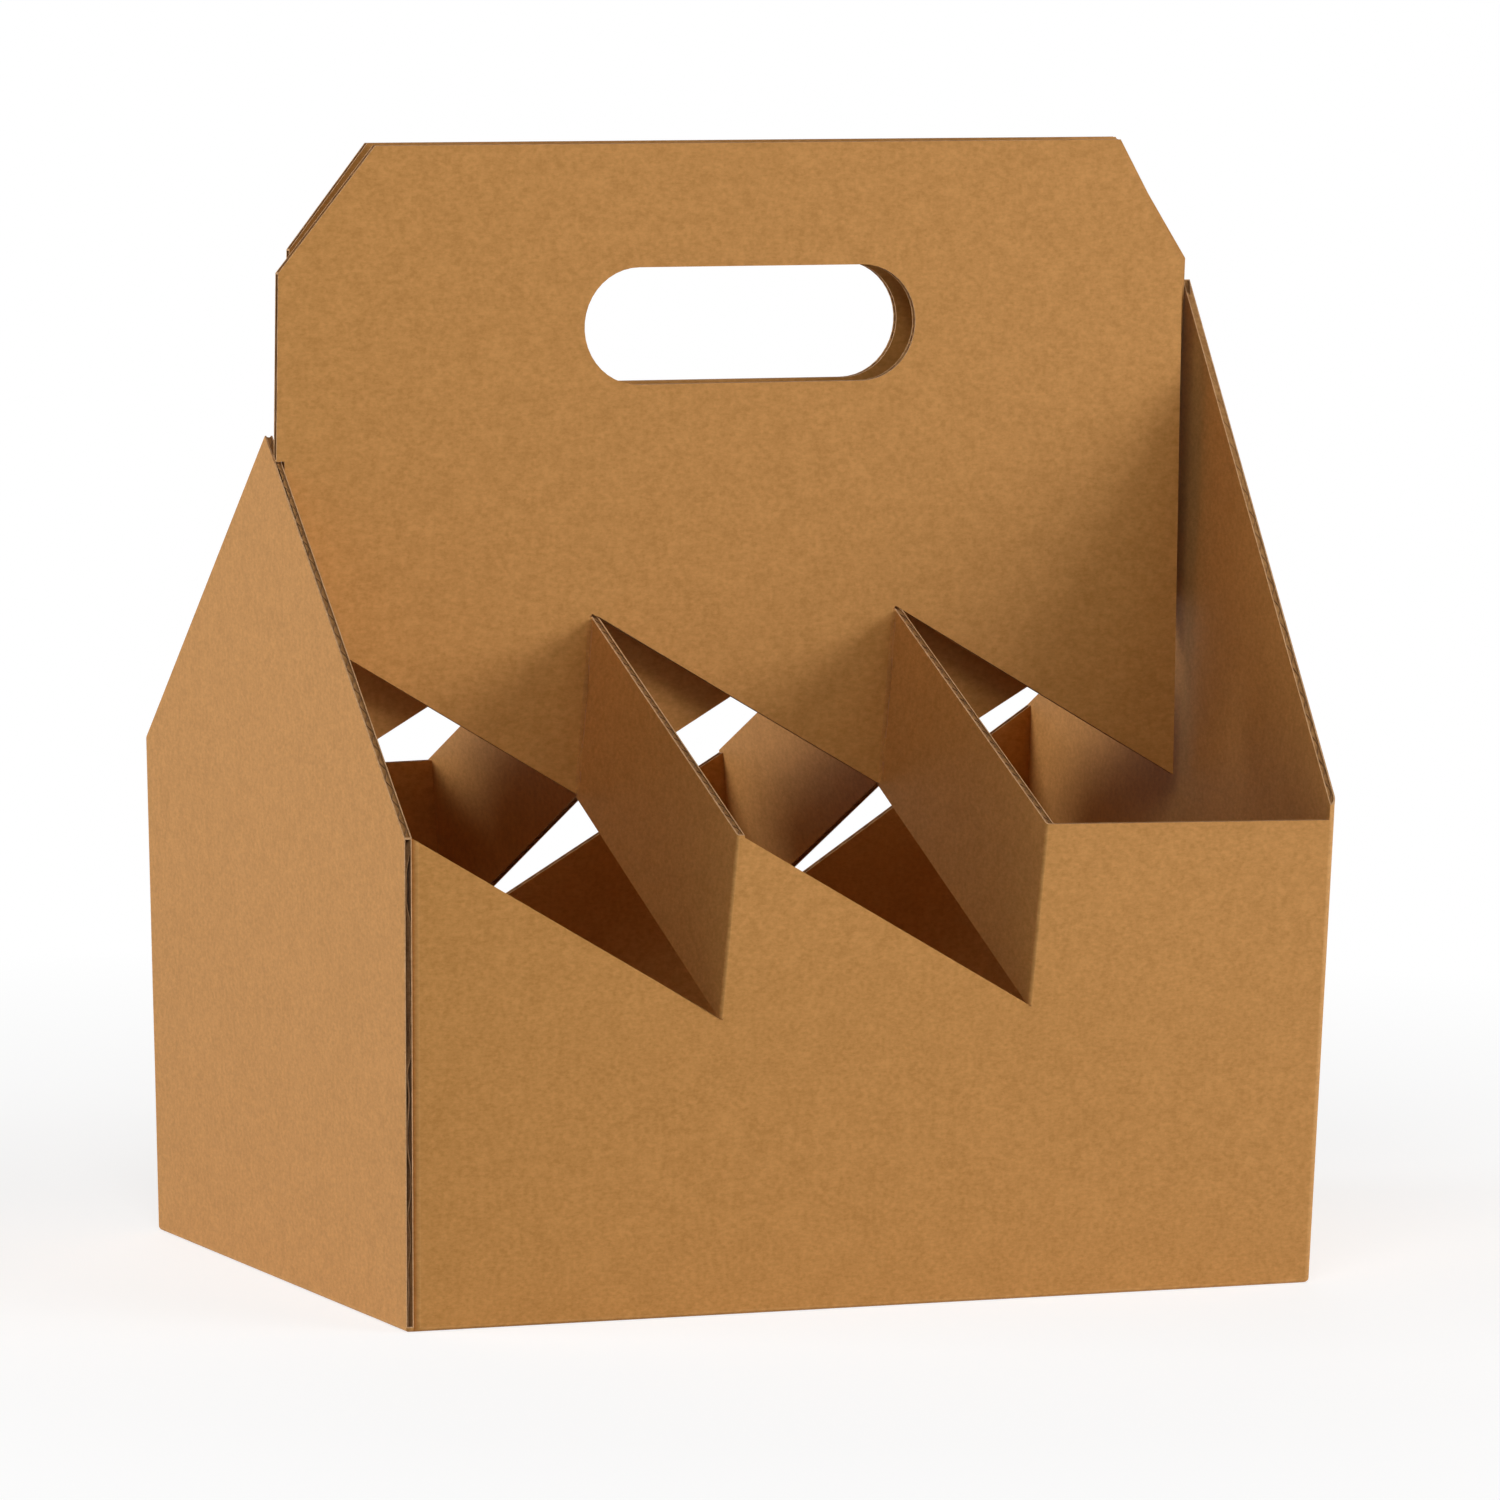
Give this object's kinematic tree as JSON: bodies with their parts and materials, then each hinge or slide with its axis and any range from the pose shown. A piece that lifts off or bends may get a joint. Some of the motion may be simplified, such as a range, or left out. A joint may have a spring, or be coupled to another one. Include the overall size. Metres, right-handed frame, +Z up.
{
  "type": "bottle carrier box",
  "caption": "Open folded corrugated-board carrier for bottles, with a tall central handle panel, a hand hole, gable ends and slanting strap dividers.",
  "frame": {"origin": "on the floor under the middle of the base", "axes": "+Z up, +X along the long walls to the right seen from the front, -Y out of the front wall"},
  "size_m": [0.2052, 0.144, 0.2265],
  "materials": {
    "kraft_board": "matte"
  },
  "bodies": {
    "root": {"bottle_carrier": "kraft_board"}
  },
  "joints": []
}
